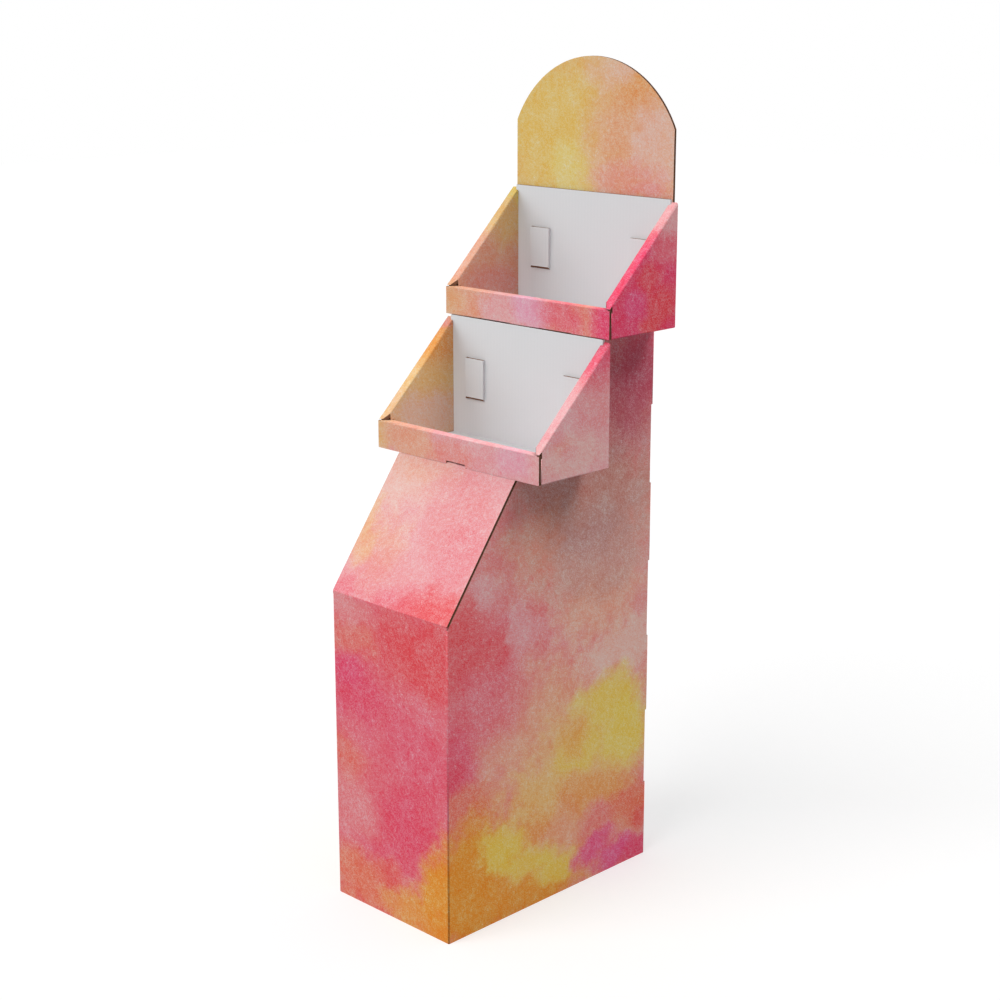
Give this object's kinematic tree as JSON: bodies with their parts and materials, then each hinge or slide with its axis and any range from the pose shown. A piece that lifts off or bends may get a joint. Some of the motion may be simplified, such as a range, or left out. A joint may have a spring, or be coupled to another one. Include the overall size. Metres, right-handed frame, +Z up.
{
  "type": "cardboard display stand",
  "caption": "Free-standing floor display folded from corrugated board: sloped-front column, stepped trays with rolled double walls and an arched header board.",
  "frame": {"origin": "on the floor, at the middle of the stand's footprint", "axes": "+Z up, -Y towards the front panel, +X to the right of a person facing the front"},
  "size_m": [0.414, 0.536, 1.5399],
  "materials": {
    "printed_column": "matte print on white liner",
    "printed_tray": "matte print on white liner",
    "printed_header": "matte print on white liner",
    "white_board": "matte white liner"
  },
  "bodies": {
    "root": {"column_sleeve": "printed_column", "back_panel": "white_board", "header_board": "printed_header", "lower_tray": "printed_tray", "upper_tray": "printed_tray"}
  },
  "joints": []
}
